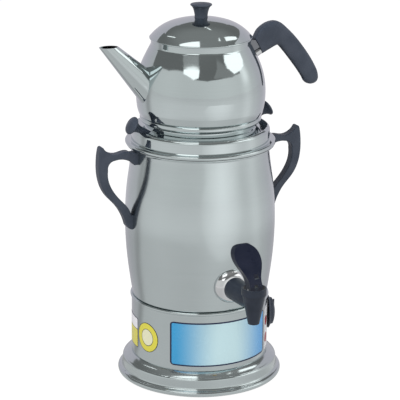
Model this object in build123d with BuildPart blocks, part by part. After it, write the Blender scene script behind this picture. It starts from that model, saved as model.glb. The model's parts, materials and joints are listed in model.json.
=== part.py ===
from build123d import *
import os
from math import acos, asin, cos, degrees, radians, sin, sqrt, tan

# Electric tea samovar: a barrel-shaped water tank on a heated base, a self-closing tap,
# a lid that doubles as a steam seat, and a teapot that brews on top of it.
# Frame: origin at the centre of the face it stands on, +Z up, the tap towards -Y and the
# two carrying handles on the X axis. Millimetres throughout.

os.makedirs("parts", exist_ok=True)

# ---------------------------------------------------------------- driving dimensions
sheet = 1.0  # stainless sheet of the tank, the housing and the foot
thin_sheet = 0.9  # stainless sheet of the lids and the teapot
seat_gap = 0.05  # between pieces of one body that sit on each other
lift_gap = 0.3  # between bodies that lift off each other
running = 0.05  # radial play of a shaft that turns or slides

base_radius = 106.0
foot_radius = 127.8
foot_top = 36.0
flange_height = 3.2  # underside of the foot ring's inward flange
flange_inner = 103.0
housing_top = 130.0

tank_belly = 115.8
tank_belly_height = 250.0
tank_foot_radius = 105.0
tank_foot_height = 133.0
tank_mouth_radius = 105.2
tank_mouth_height = 364.5
tank_rim_height = 370.1
tank_rim_radius = 113.0

lid_wall_radius = 106.0
lid_bead_radius = 115.1
lid_seat = 370.4  # underside of the lid's bead
lid_top = 397.5
collar_radius = 84.5
collar_top = 404.6
steam_radius = 80.0
lid_turn = 5.0  # degrees the loose lid is turned on the tank

pot_belly = 98.3
pot_belly_height = 450.4
pot_crease = (91.8, 413.9)  # radius and height where the globe meets its foot bead
pot_mouth_radius = 75.3
pot_mouth_height = 531.0
dome_rim_radius = 77.8
dome_top = 563.0
overall_height = 585.0

tap_height = 173.0
cup_reach = 189.5  # the tap's outlet axis, forward of the samovar's axis
cup_rim = 195.5
outlet_height = 139.5
barrel_radius = 17.5

control_bearing = -18.0  # thermostat, degrees about Z from +X
control_height = 92.0
cord_height = 60.0


# ---------------------------------------------------------------- shared planes and forms
seam = radians(130)  # bearing of a spun shell's weld seam, clear of the fittings
spin = Plane((0, 0, 0), x_dir=(cos(seam), sin(seam), 0), z_dir=(sin(seam), -cos(seam), 0))


def radial_plane(bearing, reach, height):
    """Plane across a level radial axis: its normal points straight out, local y is up."""
    out = Vector(cos(radians(bearing)), sin(radians(bearing)), 0)
    along = Vector(-out.Y, out.X, 0)
    return Plane(origin=out * reach + Vector(0, 0, height), x_dir=along, z_dir=out)


def lean_plane(bearing, reach, height, slope):
    """Plane that holds a leaning axis: local y runs out and up along it, local x is its radius."""
    out = Vector(cos(radians(bearing)), sin(radians(bearing)), 0)
    up = Vector(0, 0, 1)
    along = out * cos(radians(slope)) + up * sin(radians(slope))
    across = out * sin(radians(slope)) - up * cos(radians(slope))
    origin = out * reach + up * height
    return Plane(origin=origin, x_dir=across, z_dir=across.cross(along))


def lean_axis(plane):
    """The axis that a lean_plane holds."""
    return Axis(plane.origin, plane.y_dir)


def tank_wall_arcs(grow=0.0, mode=Mode.ADD):
    """Barrel line of the tank, foot to mouth, as four tangent arcs moved out by grow."""
    belly = (tank_belly + grow, tank_belly_height)
    foot_end = (tank_foot_radius + grow, tank_foot_height)
    mouth_end = (tank_mouth_radius + grow, tank_mouth_height)
    low = TangentArc(belly, (110.4 + grow, 170), tangent=(0, -1), mode=mode)
    foot = TangentArc(low @ 1, foot_end, tangent=low % 1, mode=mode)
    high = TangentArc(belly, (109.6 + grow, 328), tangent=(0, 1), mode=mode)
    mouth = TangentArc(high @ 1, mouth_end, tangent=high % 1, mode=mode)
    return foot, low, high, mouth


def tank_wall_curve(grow=0.0):
    """The same line as one smooth curve, for the sheet itself."""
    foot, low, high, mouth = tank_wall_arcs(grow, mode=Mode.PRIVATE)
    points = [foot @ 1, foot @ 0.5, low @ 1, low @ 0.67, low @ 0.33, low @ 0]
    points += [high @ 0.33, high @ 0.67, high @ 1, mouth @ 0.5, mouth @ 1]
    Spline(*points)


def pot_wall_line(grow=0.0):
    """Globe line of the teapot from the crease above its foot bead to its mouth."""
    belly = (pot_belly + grow, pot_belly_height)
    low = TangentArc(belly, (96.6 + grow, 427.5), tangent=(0, -1))
    TangentArc(low @ 1, (pot_crease[0] + grow, pot_crease[1]), tangent=low % 1)
    high = TangentArc(belly, (86.6 + grow, 501.5), tangent=(0, 1))
    TangentArc(high @ 1, (76.9 + grow, 520.6), tangent=high % 1)
    neck = (pot_mouth_radius + grow, 524.6)
    ThreePointArc((76.9 + grow, 520.6), (75.8 + grow, 522.5), neck)
    Line(neck, (pot_mouth_radius + grow, pot_mouth_height))


def dome_size(reach, rise):
    """Radius of a dome centred on the axis that rises so much over so much reach."""
    return (reach**2 + rise**2) / (2 * rise)


# Solid forms that seat other pieces: they are only cut with, never written.
with BuildPart() as tank_form:
    with BuildSketch(Plane.XZ):
        with BuildLine():
            tank_wall_arcs(seat_gap)
            ThreePointArc(
                (tank_mouth_radius + seat_gap, tank_mouth_height),
                (107.4, tank_rim_height - 2.45),
                (111, tank_rim_height - sheet - seat_gap),
            )
            Polyline(
                (111, tank_rim_height - sheet - seat_gap),
                (tank_rim_radius + seat_gap, tank_rim_height - sheet - seat_gap),
                (tank_rim_radius + seat_gap, tank_rim_height),
                (0, tank_rim_height),
                (0, tank_foot_height),
                (tank_foot_radius + seat_gap, tank_foot_height),
            )
        make_face()
    revolve(axis=Axis.Z)

with BuildPart() as tank_space:
    with BuildSketch(Plane.XZ):
        with BuildLine():
            tank_wall_arcs(-sheet - seat_gap)
            Polyline(
                (tank_mouth_radius - sheet - seat_gap, tank_mouth_height),
                (0, tank_mouth_height),
                (0, tank_foot_height),
                (tank_foot_radius - sheet - seat_gap, tank_foot_height),
            )
        make_face()
    revolve(axis=Axis.Z)

with BuildPart() as pot_form:
    with BuildSketch(spin):
        with BuildLine():
            pot_wall_line(seat_gap)
            Polyline(
                (pot_mouth_radius + seat_gap, pot_mouth_height),
                (0, pot_mouth_height),
                (0, pot_crease[1]),
                (pot_crease[0] + seat_gap, pot_crease[1]),
            )
        make_face()
    revolve(axis=Axis.Z)

with BuildPart() as lid_form:
    with BuildSketch(spin):
        with BuildLine():
            shoulder = ThreePointArc(
                (lid_wall_radius + seat_gap, lid_top - 6),
                (104.28, lid_top - 1.72),
                (100, lid_top + seat_gap),
            )
            Polyline(
                shoulder @ 1,
                (0, lid_top + seat_gap),
                (0, lid_top - 12),
                (lid_wall_radius + seat_gap, lid_top - 12),
                shoulder @ 0,
            )
        make_face()
    revolve(axis=Axis.Z)


# ---------------------------------------------------------------- base
with BuildPart() as foot_ring:
    with BuildSketch(spin):
        with BuildLine():
            Line((flange_inner, flange_height), (122.4, flange_height))
            ThreePointArc((122.4, flange_height), (123.5, 2.2), (124.8, 1.7))
            ThreePointArc((124.8, 1.7), (foot_radius, 5.8), (124.4, 10.2))
            ThreePointArc((124.4, 10.2), (121.8, 12.0), (120.7, 15.0))
            Line((120.7, 15.0), (120.2, 24.4))
            ThreePointArc((120.2, 24.4), (119.4, 27.1), (117.4, 28.9))
            ThreePointArc((117.4, 28.9), (112.7, 32.8), (107.2, foot_top))
            Line((107.2, foot_top), (104.8, foot_top))
            Line((104.8, foot_top), (104.8, foot_top + 10))
            offset(amount=sheet, side=Side.LEFT)
        make_face()
    revolve(axis=Axis.Z)
    with PolarLocations(107, 4, start_angle=45):
        Cylinder(radius=1.9, height=12, mode=Mode.SUBTRACT)

with BuildPart() as foot_pad:
    with BuildSketch(Plane.XY):
        Circle(121.6)
        Circle(110.8, mode=Mode.SUBTRACT)
    extrude(amount=flange_height - seat_gap)
    chamfer(foot_pad.edges().group_by(Axis.Z)[0], length=0.6)

plate_height = flange_height + sheet + seat_gap
with BuildPart() as bottom_plate:
    with BuildSketch(spin):
        with BuildLine():
            Polyline((4.2, 12), (38, 12), (44, plate_height), (113, plate_height))
            offset(amount=sheet, side=Side.LEFT)
        make_face()
    revolve(axis=Axis.Z)
    with PolarLocations(107, 4, start_angle=45):
        Cylinder(radius=1.9, height=40, mode=Mode.SUBTRACT)
    with PolarLocations(74, 12, start_angle=15):
        Cylinder(radius=3.0, height=40, mode=Mode.SUBTRACT)

with BuildPart() as plate_screws:
    with BuildSketch(Plane.XY.offset(0.9)):
        with PolarLocations(107, 4, start_angle=45):
            Circle(3.4)
    extrude(amount=flange_height - 0.9 - seat_gap)
    with BuildSketch(Plane.XY.offset(flange_height - seat_gap)):
        with PolarLocations(107, 4, start_angle=45):
            Circle(1.75)
    extrude(amount=7.5)

with BuildPart() as plate_nuts:
    with BuildSketch(Plane.XY.offset(plate_height + sheet + seat_gap)):
        with PolarLocations(107, 4, start_angle=45):
            RegularPolygon(radius=3.9, side_count=6)
            Circle(1.8, mode=Mode.SUBTRACT)
    extrude(amount=2.8)

with BuildPart() as base_housing:
    with BuildSketch(spin):
        with BuildLine():
            Line((base_radius, foot_top + seat_gap), (base_radius, 125.2))
            ThreePointArc((base_radius, 125.2), (108.0, 127.7), (106.2, housing_top))
            Line((106.2, housing_top), (99, housing_top))
            offset(amount=sheet, side=Side.LEFT)
        make_face()
    revolve(axis=Axis.Z)
    with BuildSketch(radial_plane(control_bearing, 90, control_height)):
        Circle(5.2)
    extrude(amount=30, mode=Mode.SUBTRACT)
    with BuildSketch(radial_plane(90, 90, cord_height)):
        Circle(8.1)
    extrude(amount=30, mode=Mode.SUBTRACT)

with BuildPart() as cord_grommet:
    with BuildSketch(radial_plane(90, 101.6, cord_height)):
        Circle(10)
    extrude(amount=2.8)
    with BuildSketch(radial_plane(90, 104.4, cord_height)):
        Circle(7.9)
    extrude(amount=1.8)
    with BuildSketch(radial_plane(90, 106.2, cord_height)):
        Circle(11)
    extrude(amount=3.4, taper=12)
    with BuildSketch(radial_plane(90, 101.6, cord_height)):
        Circle(4)
    extrude(amount=8, mode=Mode.SUBTRACT)


skin_reach = base_radius + seat_gap + 0.1  # labels are skins 0.2 mm thick
label_low, label_high = 43.4, 114.0
label_middle = (label_low + label_high) / 2
label_size = label_high - label_low
front_bearing, front_half_angle = -93.0, 46.8
with BuildPart() as front_label:
    with BuildSketch(spin):
        with Locations((skin_reach, label_middle)):
            Rectangle(0.2, label_size)
    revolve(axis=Axis.Z)
    with BuildSketch(radial_plane(front_bearing, 0, label_middle)):
        RectangleRounded(2 * base_radius * sin(radians(front_half_angle)), label_size, 5)
    extrude(amount=base_radius + 10, mode=Mode.INTERSECT)

control_half_angle = 25.0
with BuildPart() as control_label:
    with BuildSketch(spin):
        with Locations((skin_reach, label_middle)):
            Rectangle(0.2, label_size)
    revolve(axis=Axis.Z)
    with BuildSketch(radial_plane(control_bearing, 0, label_middle)):
        RectangleRounded(2 * base_radius * sin(radians(control_half_angle)), label_size, 5)
        with Locations((0, control_height - label_middle)):
            Circle(9, mode=Mode.SUBTRACT)
    extrude(amount=base_radius + 10, mode=Mode.INTERSECT)

with BuildPart() as round_sticker:
    with BuildSketch(spin):
        with Locations((skin_reach, 77)):
            Rectangle(0.2, 60)
    revolve(axis=Axis.Z)
    with BuildSketch(radial_plane(-164, 0, 77)):
        Circle(23.4)
    extrude(amount=base_radius + 10, mode=Mode.INTERSECT)

with BuildPart() as side_sticker:
    with BuildSketch(spin):
        with Locations((skin_reach, 75.7)):
            Rectangle(0.2, 60)
    revolve(axis=Axis.Z)
    with BuildSketch(radial_plane(169.6, 0, 75.7)):
        RectangleRounded(44, 48.4, 3)
    extrude(amount=base_radius + 10, mode=Mode.INTERSECT)


# ---------------------------------------------------------------- inside the base
with BuildPart() as thermostat_body:
    with BuildSketch(radial_plane(control_bearing, 76, control_height)):
        Circle(19)
    extrude(amount=22)
    with BuildSketch(radial_plane(control_bearing, 98, control_height)):
        Circle(9)
    extrude(amount=6.6)
    with BuildSketch(radial_plane(control_bearing, 104.6, control_height)):
        Circle(4.9)
    extrude(amount=5.2)
    with BuildSketch(radial_plane(control_bearing, 90, control_height)):
        Circle(3 + running)
    extrude(amount=30, mode=Mode.SUBTRACT)

with BuildPart() as thermostat_nut:
    with BuildSketch(radial_plane(control_bearing, 106.4, control_height)):
        RegularPolygon(radius=7, side_count=6)
        Circle(4.95, mode=Mode.SUBTRACT)
    extrude(amount=2.8)

with BuildPart() as thermostat_spindle:
    with BuildSketch(radial_plane(control_bearing, 90.4, control_height)):
        Circle(3)
    extrude(amount=26)
    with BuildSketch(radial_plane(control_bearing, 110.2, control_height)):
        with Locations((0, 2.6)):
            Rectangle(8, 2)
    extrude(amount=8, mode=Mode.SUBTRACT)

knob_plane = lean_plane(control_bearing, 0, control_height, 0)
knob_back, knob_front = 107.4, 119.5
with BuildPart() as thermostat_knob:
    with BuildSketch(knob_plane):
        with BuildLine():
            Polyline((0, knob_back + 3), (8.6, knob_back + 3), (8.6, knob_back))
            Polyline((8.6, knob_back), (27, knob_back), (27, knob_back + 1.2))
            ThreePointArc(
                (27, knob_back + 1.2), (24.6, knob_back + 2.6), (21.9, knob_back + 3.4)
            )
            Line((21.9, knob_back + 3.4), (20.6, knob_front - 4.4))
            TangentArc((0, knob_front), (20.6, knob_front - 4.4), tangent=(1, 0))
            Line((0, knob_front), (0, knob_back + 3))
        make_face()
    revolve(axis=lean_axis(knob_plane))
    with BuildSketch(radial_plane(control_bearing, knob_front - 3, control_height)):
        with Locations((0, 13)):
            SlotOverall(12, 2.4, rotation=90)
    extrude(amount=2.2)
    with BuildSketch(radial_plane(control_bearing, knob_back, control_height)):
        Circle(3.02)
        with Locations((0, 2.64)):
            Rectangle(8, 2, mode=Mode.SUBTRACT)
    extrude(amount=9.1, mode=Mode.SUBTRACT)

bulb_x, bulb_z = 45.0, 126.8
with BuildPart() as thermostat_bulb:
    with BuildSketch(Plane.XZ.offset(36)):
        with Locations((bulb_x, bulb_z)):
            Circle(3)
    extrude(amount=-66)
    with BuildLine() as capillary_path:
        FilletPolyline(
            (bulb_x, -35, bulb_z),
            (bulb_x, -58, bulb_z),
            (81, -58, 121),
            (81, -27, 118),
            (81, -27, 111.1),
            radius=[8, 8, 5],
        )
    with BuildSketch(Plane(origin=(bulb_x, -35, bulb_z), z_dir=(0, -1, 0))):
        Circle(0.9)
    sweep(path=capillary_path.line)

with BuildPart() as bulb_clip:
    with BuildSketch(Plane.XZ.offset(6)):
        with Locations((bulb_x, housing_top + 0.1 - 4)):
            Rectangle(7.9, 8)
        with Locations((bulb_x, housing_top + 0.1 - 0.4)):
            Rectangle(18, 0.8)
        with Locations((bulb_x, bulb_z + 1.7)):
            Rectangle(6.1, 3.4, mode=Mode.SUBTRACT)
        with Locations((bulb_x, bulb_z)):
            Circle(3.05, mode=Mode.SUBTRACT)
    extrude(amount=-12)

with BuildPart() as thermal_cutout:
    with BuildSketch(Plane.XY.offset(123)):
        with Locations((0, 60)):
            Circle(8)
    extrude(amount=7.1)
    with BuildSketch(Plane.XY.offset(129.3)):
        with Locations((0, 60)):
            SlotOverall(30, 9)
    extrude(amount=0.8)
    with BuildSketch(Plane.XY.offset(114)):
        with Locations((-4, 60), (4, 60)):
            Rectangle(0.8, 6.3)
    extrude(amount=9)

with BuildPart() as terminal_block:
    with BuildSketch(Plane.XY.offset(plate_height + sheet + seat_gap)):
        with Locations((-60, 45)):
            RectangleRounded(38, 16, 1.5)
    extrude(amount=14)
    with BuildSketch(Plane.XZ.offset(-60)):
        with GridLocations(12, 1, 3, 1):
            with Locations((-60, 12.5)):
                Circle(2.2)
    extrude(amount=40, mode=Mode.SUBTRACT)

with BuildPart() as earth_stud:
    with BuildSketch(Plane.XY.offset(plate_height + sheet + seat_gap)):
        with Locations((-15, 80)):
            Circle(2)
    extrude(amount=13)
    with BuildSketch(Plane.XY.offset(plate_height + sheet + seat_gap)):
        with Locations((-15, 80)):
            RegularPolygon(radius=4.2, side_count=6)
    extrude(amount=3.2)

with BuildPart() as tie_rod:
    with BuildSketch(Plane.XY.offset(3)):
        Circle(4)
    extrude(amount=housing_top + 0.1 - 3)

with BuildPart() as tie_nut:
    with BuildSketch(Plane.XY.offset(4.6)):
        RegularPolygon(radius=7.4, side_count=6)
        Circle(4.05, mode=Mode.SUBTRACT)
    extrude(amount=6.5)
    with BuildSketch(Plane.XY.offset(11.1)):
        Circle(9)
        Circle(4.05, mode=Mode.SUBTRACT)
    extrude(amount=0.85)


# ---------------------------------------------------------------- water tank and heater
tank_floor = housing_top + 0.15
handle_screws_at = ((359.5, 102.0), (256.5, 111.4))  # height, face under the head
element_spots = ((-22, -45), (22, -45))
with BuildPart() as tank:
    with BuildSketch(Plane.XZ):
        with BuildLine():
            Line((0, tank_floor), (102.4, tank_floor))
            ThreePointArc((102.4, tank_floor), (104.3, 131), (tank_foot_radius, tank_foot_height))
            tank_wall_curve()
            ThreePointArc(
                (tank_mouth_radius, tank_mouth_height),
                (107.4, tank_rim_height - 2.4),
                (111, tank_rim_height - sheet),
            )
            Polyline(
                (111, tank_rim_height - sheet),
                (tank_rim_radius, tank_rim_height - sheet),
                (tank_rim_radius, tank_rim_height),
                (110.6, tank_rim_height),
            )
            ThreePointArc(
                (110.6, tank_rim_height),
                (106.5, tank_rim_height - 1.8),
                (tank_mouth_radius - sheet, tank_mouth_height),
            )
            tank_wall_curve(-sheet)
            ThreePointArc(
                (tank_foot_radius - sheet, tank_foot_height),
                (103.4, 131.7),
                (102.2, tank_floor + sheet),
            )
            Polyline((102.2, tank_floor + sheet), (0, tank_floor + sheet), (0, tank_floor))
        make_face()
    revolve(axis=Axis.Z)
    with Locations(*[(x, y, tank_floor) for x, y in element_spots]):
        Cylinder(radius=6.1, height=8, mode=Mode.SUBTRACT)
    with BuildSketch(radial_plane(-90, 90, tap_height)):
        Circle(8.1)
    extrude(amount=40, mode=Mode.SUBTRACT)
    for height, _ in handle_screws_at:
        with BuildSketch(Plane.YZ.offset(-140)):
            with Locations((0, height)):
                Circle(2.6)
        extrude(amount=280, mode=Mode.SUBTRACT)

loop_height = 152.0
with BuildPart() as heating_element:
    with BuildLine() as element_path:
        FilletPolyline(
            (-22, -45, 116),
            (-22, -45, loop_height),
            (-62, -45, loop_height),
            (-62, 52, loop_height),
            (62, 52, loop_height),
            (62, -45, loop_height),
            (22, -45, loop_height),
            (22, -45, 116),
            radius=14,
        )
    with BuildSketch(Plane(origin=(-22, -45, 116), z_dir=(0, 0, 1))):
        Circle(4)
    sweep(path=element_path.line)
    for x, y in element_spots:
        with BuildSketch(Plane.XY.offset(119)):
            with Locations((x, y)):
                Circle(6)
        extrude(amount=14.5)
        with BuildSketch(Plane.XY.offset(133.2)):
            with Locations((x, y)):
                Circle(9.5)
        extrude(amount=2.6)
        with BuildSketch(Plane.XY.offset(106)):
            with Locations((x, y)):
                Circle(1.8)
        extrude(amount=11)

with BuildPart() as element_gaskets:
    with BuildSketch(Plane.XY.offset(tank_floor + sheet + seat_gap)):
        with Locations(*element_spots):
            Circle(9.4)
            Circle(6.05, mode=Mode.SUBTRACT)
    extrude(amount=133.15 - tank_floor - sheet - seat_gap)

with BuildPart() as element_nuts:
    with BuildSketch(Plane.XY.offset(tank_floor - seat_gap)):
        with Locations(*element_spots):
            RegularPolygon(radius=9.8, side_count=6)
            Circle(6.05, mode=Mode.SUBTRACT)
    extrude(amount=-6.5)


# ---------------------------------------------------------------- side handles
handle_thickness = 15.0
with BuildPart() as handle_right:
    with BuildSketch(Plane.XZ.offset(-handle_thickness / 2)):
        with BuildLine():
            # bottom boss, the long outer bow and the horn
            Line((100, 246), (115.6, 246))
            ThreePointArc((115.6, 246), (121.6, 248.6), (125.8, 254.4))
            Spline(
                (125.8, 254.4),
                (131.4, 270),
                (141, 285.4),
                (157.5, 304),
                (168.4, 330),
                (169.8, 360),
                (168.6, 371),
                (167.2, 377.6),
            )
            ThreePointArc((167.2, 377.6), (164.6, 380), (161.4, 378.4))
            # hollowed top edge and top boss
            Spline((161.4, 378.4), (153.6, 370.6), (140.2, 367), (127, 369.4), (119.6, 368.6))
            Line((119.6, 368.6), (117.4, 366.6))
            Line((117.4, 366.6), (100, 366.6))
            Line((100, 366.6), (100, 347))
            Line((100, 347), (112, 347))
            # finger gap: arm, inner corner and the run down to the bottom boss
            Spline((112, 347), (119.6, 353.6), (130, 357.6), (142.6, 357.4))
            ThreePointArc((142.6, 357.4), (152, 353), (154.6, 343.4))
            Spline((154.6, 343.4), (149.4, 315.4), (135.6, 296), (122.6, 281), (117.4, 268.4))
            Line((117.4, 268.4), (100, 268.4))
            Line((100, 268.4), (100, 246))
        make_face()
    extrude(amount=handle_thickness)
    fillet(handle_right.faces().filter_by(Axis.Y).edges(), radius=1.8)
    add(tank_form.part, mode=Mode.SUBTRACT)
    for height, _ in handle_screws_at:
        with BuildSketch(Plane.YZ.offset(100)):
            with Locations((0, height)):
                Circle(2.05)
        extrude(amount=23.1, mode=Mode.SUBTRACT)

with BuildPart() as handle_left:
    mirror(handle_right.part, about=Plane.YZ)

with BuildPart() as handle_screws:
    for height, seat in handle_screws_at:
        for side in (-1, 1):
            with BuildSketch(Plane.YZ.offset(side * (seat - 3))):
                with Locations((0, height)):
                    Circle(4.4)
            extrude(amount=side * 3)
            with BuildSketch(Plane.YZ.offset(side * seat)):
                with Locations((0, height)):
                    Circle(2)
            extrude(amount=side * (122.8 - seat))

with BuildPart() as handle_washers:
    for height, seat in handle_screws_at:
        for side in (-1, 1):
            with BuildSketch(Plane.YZ.offset(side * (seat + seat_gap))):
                with Locations((0, height)):
                    Circle(4.6)
                    Circle(2.05, mode=Mode.SUBTRACT)
            extrude(amount=side * 12)
    add(tank_space.part, mode=Mode.INTERSECT)


# ---------------------------------------------------------------- tap
tap_plane = lean_plane(-90, 0, tap_height, 0)
rosette_front = 124.0
with BuildPart() as rosette_seat:  # the stretch of barrel behind the rosette, as two cones
    with BuildSketch(Plane.XZ):
        with BuildLine():
            Polyline((0, 143), (106.75, 143), (111.1, 173), (114.2, 203), (0, 203), close=True)
        make_face()
    revolve(axis=Axis.Z)

with BuildPart() as tap_rosette:
    with BuildSketch(tap_plane):
        with BuildLine():
            Line((26.5, 104), (26.5, 112.5))
            ThreePointArc((26.5, 112.5), (22.6, 119.8), (13, rosette_front))
            Polyline(
                (13, rosette_front),
                (8.1, rosette_front),
                (8.1, rosette_front - 0.8),
                (12.8, rosette_front - 0.8),
            )
            ThreePointArc((12.8, rosette_front - 0.8), (22, 119.2), (25.7, 112.4))
            Polyline((25.7, 112.4), (25.7, 104), (26.5, 104))
        make_face()
    revolve(axis=lean_axis(tap_plane))
    add(rosette_seat.part, mode=Mode.SUBTRACT)

with BuildPart() as tap_shank:
    with BuildSketch(radial_plane(-90, 94, tap_height)):
        Circle(7.9)
        Circle(5, mode=Mode.SUBTRACT)
    extrude(amount=45)

with BuildPart() as tap_washer:
    with BuildSketch(radial_plane(-90, 104.4, tap_height)):
        Circle(14)
        Circle(7.95, mode=Mode.SUBTRACT)
    extrude(amount=12)
    add(tank_space.part, mode=Mode.INTERSECT)

with BuildPart() as tap_nut:
    with BuildSketch(radial_plane(-90, 97.4, tap_height)):
        RegularPolygon(radius=14, side_count=6)
        Circle(7.95, mode=Mode.SUBTRACT)
    extrude(amount=6.95)

cup_wall = 2.5
collar_step = 184.8  # where the bonnet meets the cup
cup_top_radius, outlet_radius = 17.3, 8.5
cup_slope = (cup_top_radius - outlet_radius) / (collar_step - outlet_height)
seat_height = 150.0
seat_inner = outlet_radius + cup_slope * (seat_height - outlet_height) - cup_wall
cup_axis = Axis((0, -cup_reach, 0), (0, 0, 1))
cup_plane = Plane(origin=(0, -cup_reach, 0), x_dir=(1, 0, 0), z_dir=(0, -1, 0))
with BuildPart() as tap_body:
    with BuildSketch(tap_plane):
        with BuildLine():
            Polyline((0, cup_reach), (0, rosette_front + seat_gap), (16, rosette_front + seat_gap))
            ThreePointArc(
                (16, rosette_front + seat_gap), (17.1, 124.6), (barrel_radius, 126)
            )
            Polyline((barrel_radius, 126), (15.4, 172), (13, cup_reach), (0, cup_reach))
        make_face()
    revolve(axis=lean_axis(tap_plane))
    with BuildSketch(cup_plane):
        with BuildLine():
            Polyline(
                (0, outlet_height),
                (outlet_radius, outlet_height),
                (cup_top_radius, collar_step),
                (0, collar_step),
                close=True,
            )
        make_face()
    revolve(axis=cup_axis)
    # seat of the bonnet, valve chamber, outlet and the passage from the shank
    with BuildSketch(Plane.XY.offset(collar_step)):
        with Locations((0, -cup_reach)):
            Circle(18.6 + seat_gap)
    extrude(amount=20, mode=Mode.SUBTRACT)
    with BuildSketch(cup_plane):
        with BuildLine():
            Polyline(
                (0, seat_height),
                (seat_inner, seat_height),
                (cup_top_radius - cup_wall, collar_step),
                (0, collar_step),
                close=True,
            )
        make_face()
    revolve(axis=cup_axis, mode=Mode.SUBTRACT)
    with BuildSketch(Plane.XY.offset(outlet_height)):
        with Locations((0, -cup_reach)):
            Circle(5.5)
    extrude(amount=12, mode=Mode.SUBTRACT)
    with BuildSketch(radial_plane(-90, 120, tap_height)):
        Circle(5)
    extrude(amount=cup_reach - 120, mode=Mode.SUBTRACT)
    with BuildSketch(radial_plane(-90, 120, tap_height)):
        Circle(7.95)
    extrude(amount=19.1, mode=Mode.SUBTRACT)

bonnet_floor = 189.0
with BuildPart() as tap_bonnet:
    with BuildSketch(cup_plane):
        with BuildLine():
            Polyline((3 + running, 181), (13.6, 181), (13.6, collar_step + seat_gap))
            Polyline((13.6, collar_step + seat_gap), (18.6, collar_step + seat_gap), (18.6, 194.5))
            ThreePointArc((18.6, 194.5), (18.3, 195.2), (17.6, cup_rim))
            Polyline((17.6, cup_rim), (16.4, cup_rim - 0.4), (16.4, bonnet_floor))
            Polyline((16.4, bonnet_floor), (3 + running, bonnet_floor), (3 + running, 181))
        make_face()
    revolve(axis=cup_axis)

# Valve: pulling the lever forward rocks it on its front heel and lifts the stem.
pin_height = 193.0
pin_radius = 1.5
with BuildPart() as valve_stem:
    with BuildSketch(Plane.XY.offset(153)):
        with Locations((0, -cup_reach)):
            Circle(3)
    extrude(amount=bonnet_floor + 0.3 - 153)
    with BuildSketch(Plane.YZ.offset(-2.5)):
        with Locations((-cup_reach - 1.8, 192.9)):
            RectangleRounded(11.4, 7.4, 1.5)
        with Locations((-cup_reach - 1.8, pin_height)):
            SlotCenterToCenter(3.8, 2 * (pin_radius + 0.35), mode=Mode.SUBTRACT)
    extrude(amount=5)

with BuildPart() as seat_cup:
    with BuildSketch(cup_plane):
        with BuildLine():
            Polyline(
                (0, seat_height + seat_gap),
                (6.4, seat_height + seat_gap),
                (7.2, 152),
                (7.2, 154.4),
                (5.2, 155.4),
                (5.2, 158.4),
                (7.4, 159.2),
                (7.4, 160.4),
                (3.02, 160.4),
                (3.02, 152.95),
                (0, 152.95),
                close=True,
            )
        make_face()
    revolve(axis=cup_axis)

with BuildPart() as valve_spring:
    with BuildLine() as coil_path:
        Helix(pitch=3.6, height=18, radius=6.2, center=(0, -cup_reach, 161.6))
    with BuildSketch(Plane(origin=coil_path.line @ 0, z_dir=coil_path.line % 0)):
        Circle(0.8)
    sweep(path=coil_path.line)

neck_half_width, neck_front, neck_back = 10.0, -197.5, -181.5
lever_foot = bonnet_floor + 0.3
lever_tip = 251.0
with BuildPart() as tap_lever:
    # side view: upright neck, then a thin paddle that leans back over the barrel
    with BuildSketch(Plane.YZ.offset(-22)):
        with BuildLine():
            Line((neck_back, lever_foot), (neck_front, lever_foot))
            Line((neck_front, lever_foot), (neck_front, 199))
            Spline((neck_front, 199), (-187.5, 214), (-166.6, 236.4), (-154.6, 249.4))
            ThreePointArc((-154.6, 249.4), (-148.8, 251.6), (-145.4, 247.6))
            Spline((-145.4, 247.6), (-154.6, 233.4), (-171.2, 211), (neck_back, 197))
            Line((neck_back, 197), (neck_back, lever_foot))
        make_face()
    extrude(amount=44)
    # front view: narrow neck opening into a round leaf
    with BuildSketch(Plane.XZ.offset(140)):
        with BuildLine():
            Line((-neck_half_width, lever_foot), (neck_half_width, lever_foot))
            Line((neck_half_width, lever_foot), (neck_half_width, 205))
            Spline((neck_half_width, 205), (13.6, 216), (19.8, 229), (20.4, 237), (15, 247))
            ThreePointArc((15, 247), (0, lever_tip + 1.4), (-15, 247))
            Spline((-15, 247), (-20.4, 237), (-19.8, 229), (-13.6, 216), (-neck_half_width, 205))
            Line((-neck_half_width, 205), (-neck_half_width, lever_foot))
        make_face()
    extrude(amount=62, mode=Mode.INTERSECT)
    # fork that straddles the stem's eye, the pin hole and the shallow pocket in front
    with BuildSketch(Plane.YZ.offset(-2.8)):
        with Locations((-cup_reach, 195)):
            Rectangle(30, 13)
    extrude(amount=5.6, mode=Mode.SUBTRACT)
    with BuildSketch(Plane.YZ.offset(-12)):
        with Locations((-cup_reach, pin_height)):
            Circle(pin_radius + 0.02)
    extrude(amount=24, mode=Mode.SUBTRACT)
    with BuildSketch(Plane.XZ.offset(187)):
        with Locations((3.5, 212.5)):
            Rectangle(7, 8)
    extrude(amount=14, mode=Mode.SUBTRACT)

with BuildPart() as lever_pin:
    with BuildSketch(Plane.YZ.offset(-neck_half_width)):
        with Locations((-cup_reach, pin_height)):
            Circle(pin_radius)
    extrude(amount=2 * neck_half_width)


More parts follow.
